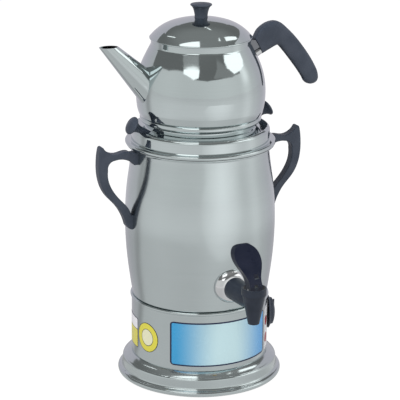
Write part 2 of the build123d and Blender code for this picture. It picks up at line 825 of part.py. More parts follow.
# ---------------------------------------------------------------- tank lid
knob_seat_reach = 96.5
knob_screw_reach = 96.0
with BuildPart() as boiler_lid:
    with BuildSketch(spin):
        with BuildLine():
            Polyline((103.2, 365), (103.2, lid_seat), (111.9, lid_seat))
            ThreePointArc(
                (111.9, lid_seat), (lid_bead_radius, lid_seat + 3.3), (111.9, lid_seat + 6.6)
            )
            Polyline(
                (111.9, lid_seat + 6.6),
                (107.2, lid_seat + 6.6),
                (lid_wall_radius, lid_seat + 7.8),
                (lid_wall_radius, lid_top - 6),
            )
            ThreePointArc(
                (lid_wall_radius, lid_top - 6), (104.24, lid_top - 1.76), (100, lid_top)
            )
            Polyline(
                (100, lid_top),
                (collar_radius + 1, lid_top),
                (collar_radius, lid_top + 1),
                (collar_radius, collar_top - 1.5),
            )
            ThreePointArc(
                (collar_radius, collar_top - 1.5), (84.06, collar_top - 0.44), (83, collar_top)
            )
            Line((83, collar_top), (steam_radius, collar_top))
            offset(amount=thin_sheet, side=Side.LEFT)
        make_face()
    revolve(axis=Axis.Z)
    with BuildSketch(Plane.XY.offset(lid_top - 4)):
        with PolarLocations(knob_screw_reach, 2, start_angle=lid_turn):
            Circle(2.1)
    extrude(amount=6, mode=Mode.SUBTRACT)


def lid_knob(bearing):
    """Flared knob that leans out over the lid's edge, its neck cut to sit on the shoulder."""
    plane = lean_plane(bearing, knob_seat_reach, lid_top, 30.5)
    with BuildPart() as knob:
        with BuildSketch(plane):
            with BuildLine():
                Polyline((0, -11), (5.4, -11), (5.4, 0))
                Spline((5.4, 0), (5.3, 7), (6.3, 14.5), (10, 20.8), (13.2, 23.6))
                ThreePointArc((13.2, 23.6), (14.0, 25.2), (13, 26.8))
                TangentArc((0, 30), (13, 26.8), tangent=(1, 0))
                Line((0, 30), (0, -11))
            make_face()
        revolve(axis=lean_axis(plane))
        add(lid_form.part, mode=Mode.SUBTRACT)
        out = radial_plane(bearing, knob_screw_reach, 0).origin
        with BuildSketch(Plane.XY.offset(lid_top - 1)):
            with Locations((out.X, out.Y)):
                Circle(2.02)
        extrude(amount=4.6, mode=Mode.SUBTRACT)
    return knob


lid_knob_right = lid_knob(lid_turn)
lid_knob_left = lid_knob(180 + lid_turn)

with BuildPart() as lid_knob_screws:
    with BuildSketch(Plane.XY.offset(lid_top - thin_sheet - seat_gap)):
        with PolarLocations(knob_screw_reach, 2, start_angle=lid_turn):
            Circle(3.8)
    extrude(amount=-2.4)
    with BuildSketch(Plane.XY.offset(lid_top - thin_sheet - seat_gap)):
        with PolarLocations(knob_screw_reach, 2, start_angle=lid_turn):
            Circle(2)
    extrude(amount=4.4)


# ---------------------------------------------------------------- teapot
pot_foot = collar_top + lift_gap
spout_slope = 45.8
spout_root_reach, spout_root_height = 92.0, 468.8
spout_apex = 166.4  # from the root to the point where the cone would close
spout_taper = tan(radians(7.44))
spout_mouth = 530.0
spout_plane = lean_plane(180, spout_root_reach, spout_root_height, spout_slope)
spout_section = Plane(
    origin=spout_plane.origin, x_dir=spout_plane.x_dir, z_dir=spout_plane.y_dir
)
with BuildPart() as teapot_body:
    with BuildSketch(spin):
        with BuildLine():
            Line((0, pot_foot - 3.3), (77.4, pot_foot - 3.3))
            ThreePointArc((77.4, pot_foot - 3.3), (78.5, pot_foot - 2.8), (79, pot_foot - 1.7))
            Polyline((79, pot_foot - 1.7), (79, pot_foot), (88.2, pot_foot))
            ThreePointArc((88.2, pot_foot), (92.4, pot_foot + 4.2), pot_crease)
            pot_wall_line()
            offset(amount=thin_sheet, side=Side.LEFT)
        make_face()
    revolve(axis=Axis.Z)
    # strainer holes behind the spout
    with BuildSketch(spout_section.offset(-18)):
        Circle(1.8)
        with PolarLocations(5.6, 6):
            Circle(1.8)
        with PolarLocations(11.2, 12):
            Circle(1.8)
    extrude(amount=40, mode=Mode.SUBTRACT)


def spout_radius(along):
    """Outer radius of the spout's cone at a distance along its axis from the root."""
    return (spout_apex - along) * spout_taper


with BuildPart() as teapot_spout:
    with BuildSketch(spout_plane):
        with BuildLine():
            Polyline(
                (spout_radius(-26) - thin_sheet, -26),
                (spout_radius(-26), -26),
                (spout_radius(100), 100),
                (spout_radius(100) - thin_sheet, 100),
                close=True,
            )
        make_face()
    revolve(axis=lean_axis(spout_plane))
    split(bisect_by=Plane.XY.offset(spout_mouth), keep=Keep.BOTTOM)
    add(pot_form.part, mode=Mode.SUBTRACT)

# The handle's root face is square to the screw axis that runs into it from the pot's shoulder.
root_top, root_bottom = (88.3, 523.8), (101.8, 499.7)
root_length = sqrt((root_bottom[0] - root_top[0]) ** 2 + (root_top[1] - root_bottom[1]) ** 2)
root_cos = (root_bottom[0] - root_top[0]) / root_length
root_sin = (root_top[1] - root_bottom[1]) / root_length
stud_offset = 22.5  # down the root face from its top corner
stud_centre = (root_top[0] + root_cos * stud_offset, root_top[1] - root_sin * stud_offset)
stud_plane = Plane(
    origin=(stud_centre[0], 0, stud_centre[1]), z_dir=(root_sin, 0, root_cos)
)
grip_width = 22.0
with BuildPart() as teapot_handle:
    with BuildSketch(Plane.XZ.offset(-grip_width / 2)):
        with BuildLine():
            Line(root_top, root_bottom)
            Line(root_bottom, (122.4, 510.3))
            ThreePointArc((122.4, 510.3), (128.0, 511.9), (132.6, 508.8))
            Spline((132.6, 508.8), (143.5, 496.5), (154.1, 483.0), (163.0, 469.5), (173.4, 451.2))
            tail = ThreePointArc((173.4, 451.2), (183.5, 445.2), (194.0, 446.4))
            TangentArc(tail @ 1, (199.8, 458.6), tangent=tail % 1)
            Spline((199.8, 458.6), (181.7, 487.7), (171.0, 504.2), (160.3, 517.9), (142.7, 537.0))
            crest = ThreePointArc((142.7, 537.0), (137.4, 542.0), (131.0, 546.0))
            TangentArc(crest @ 1, (121.6, 546.0), tangent=crest % 1)
            ThreePointArc((121.6, 546.0), (105.5, 537.0), root_top)
        make_face()
    extrude(amount=grip_width)
    rim_edges = teapot_handle.edges().filter_by(Axis.Y, reverse=True)
    fillet(rim_edges, radius=6)
    # channel along the inside of the grip and the hole to hang it by
    with BuildSketch(Plane.XZ.offset(-4)):
        with BuildLine():
            Spline((140.5, 509.1), (148.4, 500.0), (159.0, 486.5), (167.9, 473.0), (175.4, 459.6))
            Line((175.4, 459.6), (168.0, 455.5))
            Spline((168.0, 455.5), (158.5, 467), (149.5, 480), (139, 493.5), (131.5, 502.5))
            Line((131.5, 502.5), (140.5, 509.1))
        make_face()
    extrude(amount=8, mode=Mode.SUBTRACT)
    with BuildSketch(Plane.XZ.offset(-20)):
        with Locations((186.8, 456.2)):
            Circle(2.8)
    extrude(amount=40, mode=Mode.SUBTRACT)
    with BuildSketch(stud_plane):
        Circle(2.55)
    extrude(amount=22.1, mode=Mode.SUBTRACT)

with BuildPart() as handle_stud:
    with BuildSketch(stud_plane.offset(-20)):
        Circle(2.5)
    extrude(amount=42)
    add(pot_form.part, mode=Mode.SUBTRACT)

with BuildPart() as handle_ferrule:
    with BuildSketch(stud_plane.offset(-seat_gap)):
        Circle(5.8)
        Circle(2.55, mode=Mode.SUBTRACT)
    extrude(amount=-20)
    add(pot_form.part, mode=Mode.SUBTRACT)

with BuildPart() as handle_bracket:
    with BuildSketch(Plane.XZ.offset(-7)):
        with BuildLine():
            Polyline(
                (root_top[0] - 0.3, root_top[1] - 1.4),
                (root_top[0] + root_cos * 15 - 0.3, root_top[1] - root_sin * 15 - 0.1),
                (root_top[0] + root_cos * 15 - 17.8, root_top[1] - root_sin * 15 - 9.9),
                (72, 503),
                (72, root_top[1] - 1.4),
                close=True,
            )
        make_face()
    extrude(amount=14)
    add(pot_form.part, mode=Mode.SUBTRACT)

dome_start = pot_mouth_height + lift_gap
cap_reach, cap_rise = 44.9, 6.9  # the flatter middle of the dome
dome_radius = dome_size(cap_reach, cap_rise)
dome_centre = dome_top - dome_radius
dome_edge = degrees(acos(cap_reach / dome_radius))
knob_foot = 10.0
foot_spread = degrees(asin(knob_foot / (dome_radius + seat_gap)))
with BuildPart() as teapot_lid:
    with BuildSketch(spin):
        with BuildLine():
            Polyline((73.4, 523.4), (73.4, dome_start), (76.6, dome_start))
            ThreePointArc(
                (76.6, dome_start), (dome_rim_radius, dome_start + 1.4), (76.8, dome_start + 2.9)
            )
            cap = CenterArc((0, dome_centre), dome_radius, dome_edge, 90 - dome_edge - 1.0)
            TangentArc(cap @ 0, (76.8, dome_start + 2.9), tangent=(cap % 0) * -1)
            offset(amount=thin_sheet, side=Side.LEFT)
        make_face()
    revolve(axis=Axis.Z)

with BuildPart() as teapot_lid_knob:
    with BuildSketch(spin):
        with BuildLine():
            Line((0, dome_top + seat_gap), (0, overall_height))
            TangentArc((0, overall_height), (15.5, overall_height - 1.5), tangent=(1, 0))
            ThreePointArc(
                (15.5, overall_height - 1.5), (16.4, overall_height - 2.8), (15.4, overall_height - 4)
            )
            Spline((15.4, overall_height - 4), (12.2, 576.6), (10.8, 572), (9.9, 567), (knob_foot, 563.2))
            underside = CenterArc(
                (0, dome_centre), dome_radius + seat_gap, 90 - foot_spread, foot_spread
            )
            Line((knob_foot, 563.2), underside @ 0)
        make_face()
    revolve(axis=Axis.Z)
    with BuildSketch(Plane.XY.offset(dome_top - 3)):
        Circle(2.52)
    extrude(amount=16, mode=Mode.SUBTRACT)

with BuildPart() as teapot_knob_screw:
    with BuildSketch(Plane.XY.offset(dome_top - thin_sheet - 0.15)):
        Circle(4.6)
    extrude(amount=-3)
    with BuildSketch(Plane.XY.offset(dome_top - thin_sheet - 0.15)):
        Circle(2.5)
    extrude(amount=13.6)


# ---------------------------------------------------------------- write the pieces
pieces = {
    "foot_ring": foot_ring,
    "foot_pad": foot_pad,
    "bottom_plate": bottom_plate,
    "plate_screws": plate_screws,
    "plate_nuts": plate_nuts,
    "base_housing": base_housing,
    "cord_grommet": cord_grommet,
    "front_label": front_label,
    "control_label": control_label,
    "round_sticker": round_sticker,
    "side_sticker": side_sticker,
    "thermostat_body": thermostat_body,
    "thermostat_nut": thermostat_nut,
    "thermostat_spindle": thermostat_spindle,
    "thermostat_knob": thermostat_knob,
    "thermostat_bulb": thermostat_bulb,
    "bulb_clip": bulb_clip,
    "thermal_cutout": thermal_cutout,
    "terminal_block": terminal_block,
    "earth_stud": earth_stud,
    "tie_rod": tie_rod,
    "tie_nut": tie_nut,
    "tank": tank,
    "heating_element": heating_element,
    "element_gaskets": element_gaskets,
    "element_nuts": element_nuts,
    "handle_left": handle_left,
    "handle_right": handle_right,
    "handle_screws": handle_screws,
    "handle_washers": handle_washers,
    "tap_rosette": tap_rosette,
    "tap_shank": tap_shank,
    "tap_washer": tap_washer,
    "tap_nut": tap_nut,
    "tap_body": tap_body,
    "tap_bonnet": tap_bonnet,
    "valve_stem": valve_stem,
    "seat_cup": seat_cup,
    "valve_spring": valve_spring,
    "tap_lever": tap_lever,
    "lever_pin": lever_pin,
    "boiler_lid": boiler_lid,
    "lid_knob_left": lid_knob_left,
    "lid_knob_right": lid_knob_right,
    "lid_knob_screws": lid_knob_screws,
    "teapot_body": teapot_body,
    "teapot_spout": teapot_spout,
    "teapot_handle": teapot_handle,
    "handle_stud": handle_stud,
    "handle_ferrule": handle_ferrule,
    "handle_bracket": handle_bracket,
    "teapot_lid": teapot_lid,
    "teapot_lid_knob": teapot_lid_knob,
    "teapot_knob_screw": teapot_knob_screw,
}
for name, piece in pieces.items():
    piece.part.label = name
    export_step(piece.part, f"parts/{name}.step")
    print(f"{name:20s} {len(piece.part.solids())} solid(s) {piece.part.volume:12.1f} mm3")
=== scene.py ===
# %% [markdown]
# # An electric tea samovar
#
# A barrel of polished stainless steel boils the water, a teapot brews on its lid, and dark
# moulded handles and a lever tap keep fingers off the metal. The solids come from the CAD model,
# one object for each real piece. This lesson gives each of them a finish, puts the samovar on a
# pale floor, and builds the studio that its steel mirrors.

# %% Load the frame
import json
import math

import bpy
import numpy as np
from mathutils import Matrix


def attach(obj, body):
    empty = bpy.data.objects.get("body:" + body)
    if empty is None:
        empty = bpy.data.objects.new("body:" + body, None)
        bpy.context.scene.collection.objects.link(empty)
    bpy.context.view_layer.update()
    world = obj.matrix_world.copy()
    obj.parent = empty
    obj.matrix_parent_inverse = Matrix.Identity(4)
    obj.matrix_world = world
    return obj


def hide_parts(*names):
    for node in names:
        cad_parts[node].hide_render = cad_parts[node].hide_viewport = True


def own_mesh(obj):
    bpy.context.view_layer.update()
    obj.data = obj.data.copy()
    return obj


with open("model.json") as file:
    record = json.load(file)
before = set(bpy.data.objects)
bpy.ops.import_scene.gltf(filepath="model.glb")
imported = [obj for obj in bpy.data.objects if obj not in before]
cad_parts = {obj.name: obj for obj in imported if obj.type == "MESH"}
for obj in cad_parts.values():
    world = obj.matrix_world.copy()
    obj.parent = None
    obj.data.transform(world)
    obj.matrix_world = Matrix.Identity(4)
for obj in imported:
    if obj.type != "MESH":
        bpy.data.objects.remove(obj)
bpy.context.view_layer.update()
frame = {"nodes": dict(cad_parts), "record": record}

# %% [markdown]
# ## Where the camera stands
#
# A product photographer stands well back with a long lens, so that the samovar's sides stay
# nearly parallel. The camera is 2.8 m away and well above the lid, turned 25 degrees to the left
# of the tap, and looks down by 17 degrees.

# %% Lens and tripod
CAMERA_BEARING = math.radians(-25)
CAMERA_REACH, CAMERA_HEIGHT = 2.7716, 1.117
FOCAL_LENGTH, SENSOR_WIDTH = 169.1, 36

lens = bpy.data.cameras.new("product_camera")
lens.lens, lens.sensor_width = FOCAL_LENGTH, SENSOR_WIDTH
lens.clip_end = 50
camera = bpy.data.objects.new("product_camera", lens)
camera.location = (
    CAMERA_REACH * math.sin(CAMERA_BEARING),
    -CAMERA_REACH * math.cos(CAMERA_BEARING),
    CAMERA_HEIGHT,
)
bpy.context.collection.objects.link(camera)
bpy.context.scene.camera = camera
bpy.context.scene.view_settings.view_transform = "Standard"
print("camera at", tuple(camera.location))

# %% [markdown]
# ## How the camera is turned
#
# A Track To constraint could aim the camera, but it always holds it level, and a tripod seldom
# is: this one rolls by a third of a degree. So three turns are multiplied out: first the roll
# about the line of sight, then the tilt, then the turn about the samovar. The angles that Blender
# stores are read from the product.

# %% Aim
CAMERA_TILT, CAMERA_ROLL = math.radians(73.14), math.radians(0.35)


def turned(axis, angle):
    """Matrix that turns a vector about one axis."""
    c, s = math.cos(angle), math.sin(angle)
    i, j = [(1, 2), (2, 0), (0, 1)][axis]
    matrix = np.eye(3)
    matrix[i, i], matrix[i, j], matrix[j, i], matrix[j, j] = c, -s, s, c
    return matrix


aim = turned(2, CAMERA_BEARING) @ turned(0, CAMERA_TILT) @ turned(2, CAMERA_ROLL)
camera.rotation_euler = (
    math.atan2(aim[2, 1], aim[2, 2]),
    -math.asin(aim[2, 0]),
    math.atan2(aim[1, 0], aim[0, 0]),
)
print("turned by", [round(math.degrees(angle), 2) for angle in camera.rotation_euler])

# %% [markdown]
# ## Sums on sockets
#
# A procedural finish is a long sum: distances, angles and noise go in, and a colour or a
# roughness comes out. Nodes placed one by one hide that sum. Written in Python it is easy to
# read, so one small class wraps a socket, and each operator on it adds one Math node.


# %% A socket that can be used in sums
class Wire:
    """One socket of a node tree. A sum on it adds a Math node and gives the node's output."""

    def __init__(self, tree, socket=None):
        self.tree, self.socket = tree, socket

    def node(self, kind, settings=None, sockets=None, out=0):
        """Adds a node of any kind: first its settings, then the values or wires of its sockets."""
        new = self.tree.nodes.new(kind)
        for name, value in (settings or {}).items():
            setattr(new, name, value)
        for name, value in (sockets or {}).items():
            if isinstance(value, Wire):
                self.tree.links.new(value.socket, new.inputs[name])
            else:
                new.inputs[name].default_value = value
        return Wire(self.tree, new.outputs[out] if len(new.outputs) else None)

    def other(self, name):
        """Another output of the node that this wire comes from."""
        return Wire(self.tree, self.socket.node.outputs[name])

    def sum(self, operation, first, second=0.0):
        """One Math node."""
        return self.node("ShaderNodeMath", {"operation": operation}, {0: first, 1: second})

    def __add__(self, other):
        return self.sum("ADD", self, other)

    def __sub__(self, other):
        return self.sum("SUBTRACT", self, other)

    def __rsub__(self, other):
        return self.sum("SUBTRACT", other, self)

    def __mul__(self, other):
        return self.sum("MULTIPLY", self, other)

    def __truediv__(self, other):
        return self.sum("DIVIDE", self, other)

    def __pow__(self, other):
        return self.sum("POWER", self, other)

    def __abs__(self):
        return self.sum("ABSOLUTE", self)

    __radd__, __rmul__ = __add__, __mul__

    def least(self, other):
        return self.sum("MINIMUM", self, other)

    def most(self, other):
        return self.sum("MAXIMUM", self, other)

    def rise(self, low, high):
        """0 below low, 1 above high, and smooth between them. With low above high it falls."""
        return self.node(
            "ShaderNodeMapRange",
            {"interpolation_type": "SMOOTHSTEP"},
            {0: self, 1: low, 2: high, 3: 0.0, 4: 1.0},
        )

    def bump(self, middle, width):
        """1 at middle, falling smoothly to 0 at half the width either side."""
        return abs(self - middle).rise(width / 2, 0)

    def between(self, first, second):
        """The mix of two colours by this factor, 0 to 1."""
        first, second = (c if isinstance(c, Wire) else (*c, 1) for c in (first, second))
        colours = {0: self, 6: first, 7: second}
        return self.node("ShaderNodeMix", {"data_type": "RGBA"}, colours, out=2)


print("Wire ready")

# %% [markdown]
# ## The studio that the steel mirrors
#
# Polished steel has no picture of its own: it shows the room. A whole room could be modelled
# round the samovar, but then each wall and card would also throw light and shadow. So the world
# is painted twice. The camera and everything dull see plain white. Mirror rays see a grey room:
# walls whose tone changes slowly with bearing, which gives the upright bands on the barrel.

# %% Bearing about the samovar
SEAM = (179.9, 180.1)  # a bearing jumps by a whole turn between these two


def bearing_of(x, y):
    """Degrees about the samovar, 0 where the camera stands and growing to its right."""
    turn = x.sum("ARCTAN2", x, y * -1) * (180 / math.pi) - math.degrees(CAMERA_BEARING)
    return turn - turn.rise(*SEAM) * 360


print("bearings join at", SEAM)

# %% Tone of the walls
WALL_GREY = 0.72
# Middle and width in degrees, and the change of grey: two faint fills, a pale card, a dark door.
WALL_BANDS = [(-60, 80, 0.04), (45, 110, 0.08), (90, 36, 0.14), (-105, 26, -0.26)]
WALL_FALL = 0.14  # the room is darker behind the samovar


def wall_tone(turn):
    """Grey of the walls: a base, soft bands, and a fall on both sides toward the back."""
    tone = WALL_GREY
    for middle, width, change in WALL_BANDS:
        tone = turn.bump(middle, width) * change + tone
    return tone - turn.rise(-85, -125) * WALL_FALL - turn.rise(98, 135) * WALL_FALL


print("walls have", len(WALL_BANDS), "bands")

# %% [markdown]
# ## The ceiling
#
# Over the samovar hangs a dark ceiling with white softboxes in it. Its mirror image gives the
# teapot and the lids their crisp shapes. A softbox could be a lamp, but a painted one has
# exactly the corners that are wanted and lights nothing else. A ray is followed up to a flat
# ceiling one metre over the steel, where its place is (rightward / up, toward the camera / up),
# and a panel there is a list of corners.

# %% One ceiling panel
PANEL_SOFT = 0.02  # metres over which a panel's edge fades


def panel(right, near, up, corners):
    """Mask of a convex ceiling panel seen along a ray: the ray's least distance to an edge,
    which is above 0 on the inner side of all of them."""
    inside = None
    for (x0, y0), (x1, y1) in zip(corners, corners[1:] + corners[:1]):
        across, along = y0 - y1, x1 - x0
        length = math.hypot(across, along)
        across, along = across / length, along / length
        edge = right * across + near * along - up * (across * x0 + along * y0)
        inside = edge if inside is None else inside.least(edge)
    return inside.rise(0, PANEL_SOFT)


print("a panel's edge fades over", PANEL_SOFT * 1000, "mm")

# %% Dark panels and softboxes
# Grey and corners. A later dark panel covers an earlier one.
DARK_PANELS = [
    # toward the camera
    (0.19, [(-1.06, -0.85), (-0.41, -1.6), (0.75, -2.45), (0.98, -2.2), (1.06, -1.0), (1.06, 0.5),
            (-1.06, 0.5)]),
    # away from it
    (0.19, [(-1.0, 0.0), (1.2, -0.3), (2.84, 0.39), (2.38, 1.25), (0.55, 2.45), (-0.55, 2.13),
            (-0.94, 1.19)]),
    # a wing to the left
    (0.19, [(-3.6, -1.3), (-0.87, -1.3), (-0.87, 1.30), (-1.9, 0.75)]),
    # two paler strips beside the far softboxes
    (0.31, [(0.75, 0.95), (2.9, 0.3), (2.38, 1.25), (0.9, 1.98)]),
    (0.38, [(-0.90, 0.70), (-0.09, 0.95), (-0.09, 1.22), (-0.84, 1.06)]),
]
SOFTBOXES = [
    [(0.51, -0.30), (0.88, -0.78), (1.02, -0.72), (0.97, -0.5), (0.66, -0.09)],
    [(1.12, 0.80), (1.25, -0.15), (2.45, -0.6), (2.5, 0.25), (2.28, 0.85)],
    [(0.38, -0.19), (0.42, -0.18), (0.51, 0.0), (0.44, 0.04)],
    [(-0.86, 1.04), (-0.04, 1.22), (-0.11, 1.97), (-0.55, 2.13), (-1.02, 1.39)],
    [(-0.64, 0.15), (-0.02, 0.15), (-0.02, 0.66), (-0.70, 0.62)],
    [(-0.88, -0.70), (-0.80, -0.70), (-0.56, -0.30), (-0.64, -0.30)],
    [(-0.02, -1.22), (0.03, -1.22), (0.19, -0.66), (0.13, -0.66)],
]
SOFTBOX_GREY = 1.7  # brighter than white, so that it stays white in a mirror of grey steel
print(len(DARK_PANELS), "dark panels,", len(SOFTBOXES), "softboxes")

# %% Where a ray goes
world = bpy.data.worlds.new("studio")
world.use_nodes = True
bpy.context.scene.world = world
world.node_tree.nodes.clear()
sky = Wire(world.node_tree)
toward = sky.node("ShaderNodeTexCoord")
split = sky.node("ShaderNodeSeparateXYZ", None, {0: toward})
sx, sy, sz = (split.other(axis) for axis in "XYZ")
c, s = math.cos(CAMERA_BEARING), math.sin(CAMERA_BEARING)
right, near = sx * c + sy * s, sx * s - sy * c
turn = bearing_of(sx, sy)
print("nodes that find a ray's place:", len(world.node_tree.nodes))

# %% Tone along a ray
CARD_BAND, CARD_RISE, CARD_GREY = (92, 30), (0.0, 0.25), 0.3  # a pale card above the horizon
OVERHEAD, OVERHEAD_GREY = (0.6, 0.95), 0.10  # the ceiling is a little paler straight above

tone = wall_tone(turn)
tone = tone + turn.bump(*CARD_BAND) * sz.rise(*CARD_RISE) * CARD_GREY
dark = None
for grey, corners in DARK_PANELS:
    mask = panel(right, near, sz, corners)
    tone = tone + mask * (sz.rise(*OVERHEAD) * OVERHEAD_GREY + grey - tone)
    dark = mask if dark is None else dark.most(mask)
for corners in SOFTBOXES:
    tone = tone.most(panel(right, near, sz, corners) * SOFTBOX_GREY)
print("nodes with the room's tone:", len(world.node_tree.nodes))

# %% World
BEHIND = (95, 150)  # between these bearings, on both sides, the room turns from cool to mauve
COOL, MAUVE = (0.985, 1.0, 0.99), (1.04, 0.99, 1.09)
WHITE = (1, 1, 1)
SOFT_LIGHT = 0.5  # what dull surfaces get from the world

behind = abs(turn).rise(*BEHIND) * (1 - dark)
tint = behind.between(COOL, MAUVE)
is_camera = sky.node("ShaderNodeLightPath", out="Is Camera Ray")
is_mirror = is_camera.other("Is Glossy Ray")
shown = is_mirror.between(WHITE, tint)
strength = is_camera + (1 - is_camera) * (is_mirror * tone + (1 - is_mirror) * SOFT_LIGHT)
light = sky.node("ShaderNodeBackground", None, {"Color": shown, "Strength": strength})
sky.node("ShaderNodeOutputWorld", None, {"Surface": light})
print("world nodes", len(world.node_tree.nodes))

# %% [markdown]
# ## Floor
#
# The samovar stands on a white sheet. A curved sheet would hide the horizon, but a flat one that
# glows as white as the world behind it hides it too, and four corners are enough. It keeps a
# little of its own shading, so that the foot still drops a soft shadow. Mirror rays see a table
# top under the samovar, a little darker than the walls, and past its edge the far wall.


# %% Sheet
def new_material(name):
    """A material and a wire in its empty tree."""
    made = bpy.data.materials.new(name)
    made.use_nodes = True
    made.node_tree.nodes.clear()
    return made, Wire(made.node_tree)


FLOOR_HALF = 7.0
sheet = bpy.data.meshes.new("floor")
floor_corners = [(x * FLOOR_HALF, y * FLOOR_HALF, 0) for x, y in ((-1, -1), (1, -1), (1, 1), (-1, 1))]
sheet.from_pydata(floor_corners, [], [(0, 1, 2, 3)])
floor = bpy.data.objects.new("floor", sheet)
bpy.context.collection.objects.link(floor)
print("floor", tuple(floor.dimensions))

# %% Glow of the sheet
TABLE_EDGE = (0.5, 1.0)  # square metres: the square of the distance from the axis
TABLE_SHARE, TABLE_SHEEN = 0.77, 0.05  # of the walls' grey, and a paler patch to the right
CAMERA_EXTRA = 0.12  # the floor must look as white as the world behind it
GLOW_SHARE = 0.85  # the rest is matt, and takes the shadow

floor_paint, wire = new_material("floor_paint")
where = wire.node("ShaderNodeTexCoord", out="Object")
split = wire.node("ShaderNodeSeparateXYZ", None, {0: where})
fx, fy = split.other("X"), split.other("Y")
turn = bearing_of(fx, fy)
far = (fx * fx + fy * fy).rise(*TABLE_EDGE)
table = wall_tone(turn) * TABLE_SHARE + turn.bump(20, 60) * TABLE_SHEEN
mirrored = table + far * (wall_tone(turn) - table)
is_camera = wire.node("ShaderNodeLightPath", out="Is Camera Ray")
is_mirror = is_camera.other("Is Glossy Ray")
shown = (is_mirror * abs(turn).rise(*BEHIND)).between(WHITE, MAUVE)
glow = is_mirror * mirrored + (1 - is_mirror) * (1.0 + is_camera * CAMERA_EXTRA)
lit = wire.node("ShaderNodeEmission", None, {"Color": shown, "Strength": glow})
matt = wire.node("ShaderNodeBsdfDiffuse", None, {"Color": (0.9, 0.9, 0.9, 1)})
both = wire.node("ShaderNodeMixShader", None, {0: GLOW_SHARE, 1: matt, 2: lit})
wire.node("ShaderNodeOutputMaterial", None, {"Surface": both})
sheet.materials.append(floor_paint)
print("floor nodes", len(floor_paint.node_tree.nodes))

# %% [markdown]
# ## Lamps
#
# Two soft square lamps, a strong one from the upper left and a weak one from the right, shape
# everything dull: the handles, the tap and the labels. The steel doesn't mirror them, because
# its softboxes are painted.


# %% Key and fill
def softbox(name, bearing, rise, reach, size, power):
    """A square lamp on a sphere about the samovar: bearing from the camera, and height angle."""
    lamp = bpy.data.lights.new(name, "AREA")
    lamp.shape, lamp.size, lamp.energy = "SQUARE", size, power
    turn = CAMERA_BEARING + math.radians(bearing)
    up = math.radians(rise)
    place = np.array([math.sin(turn) * math.cos(up), -math.cos(turn) * math.cos(up), math.sin(up)])
    lamp_object = bpy.data.objects.new(name, lamp)
    lamp_object.location = place * reach + np.array([0, 0, 0.3])
    lamp_object.rotation_euler = (math.pi / 2 - up, 0, turn)
    lamp_object.visible_glossy = False
    bpy.context.collection.objects.link(lamp_object)
    return lamp_object


softbox("key_box", -35, 55, 2.6, 0.9, 42)
softbox("fill_box", 55, 35, 2.6, 0.9, 18)

# %% [markdown]
# ## The glow on the barrel
#
# A bright patch with no edge lies on the right of the barrel's belly. One lamp would be mirrored
# as an oval with a rim. Four ovals, one inside another, add up to a soft glow. They stand low and
# close, are there for their mirror image alone, and their narrow spread keeps it off the teapot.

# %% Nested ovals
GLOW_SIZES = [(0.46, 0.30), (0.36, 0.23), (0.26, 0.17), (0.15, 0.10)]
GLOW_POWER, GLOW_SPREAD, GLOW_HEIGHT = 0.12, math.radians(72), 0.245

for step, (width, height) in enumerate(GLOW_SIZES):
    glow_lamp = softbox(f"barrel_glow_{step}", 33, 0, 0.37, 0.2, GLOW_POWER * width * height)
    glow_lamp.data.shape, glow_lamp.data.spread = "ELLIPSE", GLOW_SPREAD
    glow_lamp.data.size, glow_lamp.data.size_y = width, height
    glow_lamp.location.z = GLOW_HEIGHT
    glow_lamp.visible_glossy, glow_lamp.visible_diffuse = True, False
    glow_lamp.visible_camera = False

# %% [markdown]
# ## Parts of a finish
#
# A finish needs to know where it is on the object. An unwrapped picture would do, but a solid
# sum of coordinates has no seams and no limit of resolution. The samovar is nearly all round, so
# besides plain coordinates the finishes use the distance from its axis and the bearing about it.
# Noise stretched along the direction of work gives polishing lines, and slow noise gives the
# dents and smears that even a new piece has.


# %% Places and noise
class Place:
    """Where a point is, in millimetres: x, y, z, its reach from the axis, its bearing in degrees
    (0 over the tap, growing to the right)."""

    def __init__(self, wire):
        self.vector = wire.node("ShaderNodeTexCoord", out="Object")
        self.wire = wire
        split = wire.node("ShaderNodeSeparateXYZ", None, {0: self.vector})
        self.x, self.y, self.z = (split.other(axis) * 1000 for axis in "XYZ")

    def reach(self):
        return (self.x * self.x + self.y * self.y) ** 0.5

    def bearing(self):
        return self.x.sum("ARCTAN2", self.x, self.y * -1) * (180 / math.pi)

    def noise(self, size, detail=2.0, vector=None):
        """Cloudy noise from 0 to 1 whose blots are about size millimetres wide."""
        sockets = {"Vector": vector or self.vector, "Scale": 1000 / size, "Detail": detail}
        return self.wire.node("ShaderNodeTexNoise", None, sockets)

    def rings(self, size):
        """Lines left by a polishing wheel on a turning piece: noise that changes with height and
        reach, and hardly at all round the axis."""
        r, z = self.reach() / 1000, self.z / 1000
        drawn = self.wire.node(
            "ShaderNodeCombineXYZ", None, {0: r + self.x / 200000, 1: self.y / 200000, 2: z}
        )
        return self.noise(size, 3.0, drawn)


print("a Place gives x, y, z, reach, bearing, noise and rings")

# %% [markdown]
# ## One shader for every finish
#
# Each material has a single Principled shader. A paint is a function of the place that gives the
# sockets that vary, and the constant ones go straight onto the shader. Relief is a Bump node, for
# what is too shallow to be worth a mesh: pits of the mould, polishing lines, ripples.


# %% Relief and finish
def relief(height, depth, strength=1.0):
    """Normal of a surface whose height, 0 to 1, is worth so many millimetres."""
    sockets = {"Height": height, "Distance": depth / 1000, "Strength": strength}
    return height.node("ShaderNodeBump", None, sockets)


def finish(name, paint, **sockets):
    """A material with one Principled shader. paint(place) gives its varying sockets."""
    made, wire = new_material(name)
    sockets.update(paint(Place(wire)))
    values = {}
    for socket, value in sockets.items():
        flat = isinstance(value, tuple) and len(value) == 3
        values[socket.replace("_", " ")] = (*value, 1) if flat else value
    shader = wire.node("ShaderNodeBsdfPrincipled", None, values)
    wire.node("ShaderNodeOutputMaterial", None, {"Surface": shader})
    print(name, len(made.node_tree.nodes), "nodes")
    return made


print("finish ready")

